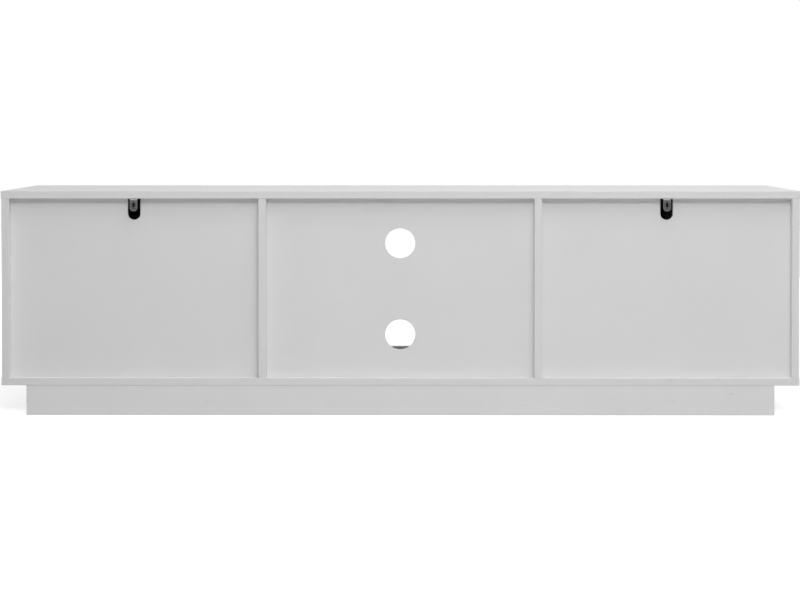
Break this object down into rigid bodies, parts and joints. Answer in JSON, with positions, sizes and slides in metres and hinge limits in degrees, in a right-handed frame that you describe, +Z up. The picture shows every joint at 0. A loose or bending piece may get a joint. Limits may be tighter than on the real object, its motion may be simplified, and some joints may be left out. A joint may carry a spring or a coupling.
{
  "type": "tv stand with doors",
  "caption": "Low white TV stand: push-to-open side doors on concealed hinges, an open centre bay with a shelf, a set-in plinth, a back with cable holes, notches and wall anchors.",
  "frame": {"origin": "on the floor under the middle of the stand", "axes": "+X to the right along the width seen from the front, front faces -Y, back faces +Y, +Z up"},
  "size_m": [1.6, 0.4, 0.45],
  "materials": {
    "white_board": "white melamine-faced particleboard with edge banding",
    "white_hardboard": "white lacquered hardboard",
    "zinc_steel": "zinc-plated pressed steel",
    "grey_steel": "dull grey plated steel strap",
    "nickel_steel": "nickel-plated hinge steel",
    "cam_alloy": "die-cast zinc",
    "beech": "ribbed beech dowel",
    "grey_plastic": "moulded grey plastic",
    "clear_bumper": "soft clear bumper"
  },
  "bodies": {
    "cabinet": {"bottom_panel": "white_board", "cam_bolts": "zinc_steel", "cam_discs": "cam_alloy", "case_screws": "zinc_steel", "centre_back_panel": "white_hardboard", "centre_shelf": "white_board", "door_bumpers": "clear_bumper", "dowels": "beech", "front_lip_rail": "white_board", "hinge_arm_rivets": "nickel_steel", "left_back_panel": "white_hardboard", "left_divider": "white_board", "left_latch_body": "grey_plastic", "left_lower_hinge_arm": "nickel_steel", "left_lower_hinge_plate": "nickel_steel", "left_side_panel": "white_board", "left_upper_hinge_arm": "nickel_steel", "left_upper_hinge_plate": "nickel_steel", "left_wall_anchor": "grey_steel", "plinth_angle_brackets": "zinc_steel", "plinth_front_board": "white_board", "plinth_left_brace": "white_board", "plinth_left_end": "white_board", "plinth_rear_board": "white_board", "plinth_right_brace": "white_board", "plinth_right_end": "white_board", "right_back_panel": "white_hardboard", "right_divider": "white_board", "right_latch_body": "grey_plastic", "right_lower_hinge_arm": "nickel_steel", "right_lower_hinge_plate": "nickel_steel", "right_side_panel": "white_board", "right_upper_hinge_arm": "nickel_steel", "right_upper_hinge_plate": "nickel_steel", "right_wall_anchor": "grey_steel", "shelf_pins": "zinc_steel", "top_panel": "white_board"},
    "left_main_links": {"left_lower_hinge_main_link": "nickel_steel", "left_upper_hinge_main_link": "nickel_steel"},
    "left_guide_links": {"left_lower_hinge_guide_link": "nickel_steel", "left_upper_hinge_guide_link": "nickel_steel"},
    "left_door": {"left_door": "white_board", "left_hinge_cup_rivets": "nickel_steel", "left_door_screws": "zinc_steel", "left_strike_plate": "zinc_steel", "left_lower_hinge_cup": "nickel_steel", "left_upper_hinge_cup": "nickel_steel"},
    "left_latch_plunger": {"left_latch_plunger": "grey_plastic"},
    "right_main_links": {"right_lower_hinge_main_link": "nickel_steel", "right_upper_hinge_main_link": "nickel_steel"},
    "right_guide_links": {"right_lower_hinge_guide_link": "nickel_steel", "right_upper_hinge_guide_link": "nickel_steel"},
    "right_door": {"right_door": "white_board", "right_hinge_cup_rivets": "nickel_steel", "right_door_screws": "zinc_steel", "right_strike_plate": "zinc_steel", "right_lower_hinge_cup": "nickel_steel", "right_upper_hinge_cup": "nickel_steel"},
    "right_latch_plunger": {"right_latch_plunger": "grey_plastic"}
  },
  "joints": [
    {"name": "left_main_link_pivot", "type": "hinge", "parent": "cabinet", "child": "left_main_links", "pos_m": [-0.76927, -0.19088, 0.255], "axis": [0, 0, 1], "range_deg": [0, 43.61]},
    {"name": "left_door_swing", "type": "hinge", "parent": "left_main_links", "child": "left_door", "pos_m": [-0.78512, -0.18801, 0.255], "axis": [0, 0, -1], "range_deg": [0, 135.61]},
    {"name": "left_guide_link_pivot", "type": "hinge", "parent": "cabinet", "child": "left_guide_links", "pos_m": [-0.76104, -0.1806, 0.255], "axis": [0, 0, 1], "range_deg": [0, 28.52]},
    {"name": "left_plunger_slide", "type": "slide", "parent": "cabinet", "child": "left_latch_plunger", "axis": [0, -1, 0], "range_m": [0, 0.01401]},
    {"name": "right_main_link_pivot", "type": "hinge", "parent": "cabinet", "child": "right_main_links", "pos_m": [0.76927, -0.19088, 0.255], "axis": [0, 0, -1], "range_deg": [0, 43.61]},
    {"name": "right_door_swing", "type": "hinge", "parent": "right_main_links", "child": "right_door", "pos_m": [0.78512, -0.18801, 0.255], "axis": [0, 0, 1], "range_deg": [0, 135.61]},
    {"name": "right_guide_link_pivot", "type": "hinge", "parent": "cabinet", "child": "right_guide_links", "pos_m": [0.76104, -0.1806, 0.255], "axis": [0, 0, -1], "range_deg": [0, 28.52]},
    {"name": "right_plunger_slide", "type": "slide", "parent": "cabinet", "child": "right_latch_plunger", "axis": [0, -1, 0], "range_m": [0, 0.01401]}
  ],
  "couplings": [
    {"joint": "left_main_link_pivot", "follows": "left_door_swing", "ratio": 0.32157},
    {"joint": "left_guide_link_pivot", "follows": "left_door_swing", "ratio": 0.21033},
    {"joint": "left_plunger_slide", "follows": "left_door_swing", "m_per_rad": 0.0059151},
    {"joint": "right_main_link_pivot", "follows": "right_door_swing", "ratio": 0.32157},
    {"joint": "right_guide_link_pivot", "follows": "right_door_swing", "ratio": 0.21033},
    {"joint": "right_plunger_slide", "follows": "right_door_swing", "m_per_rad": 0.0059151}
  ]
}
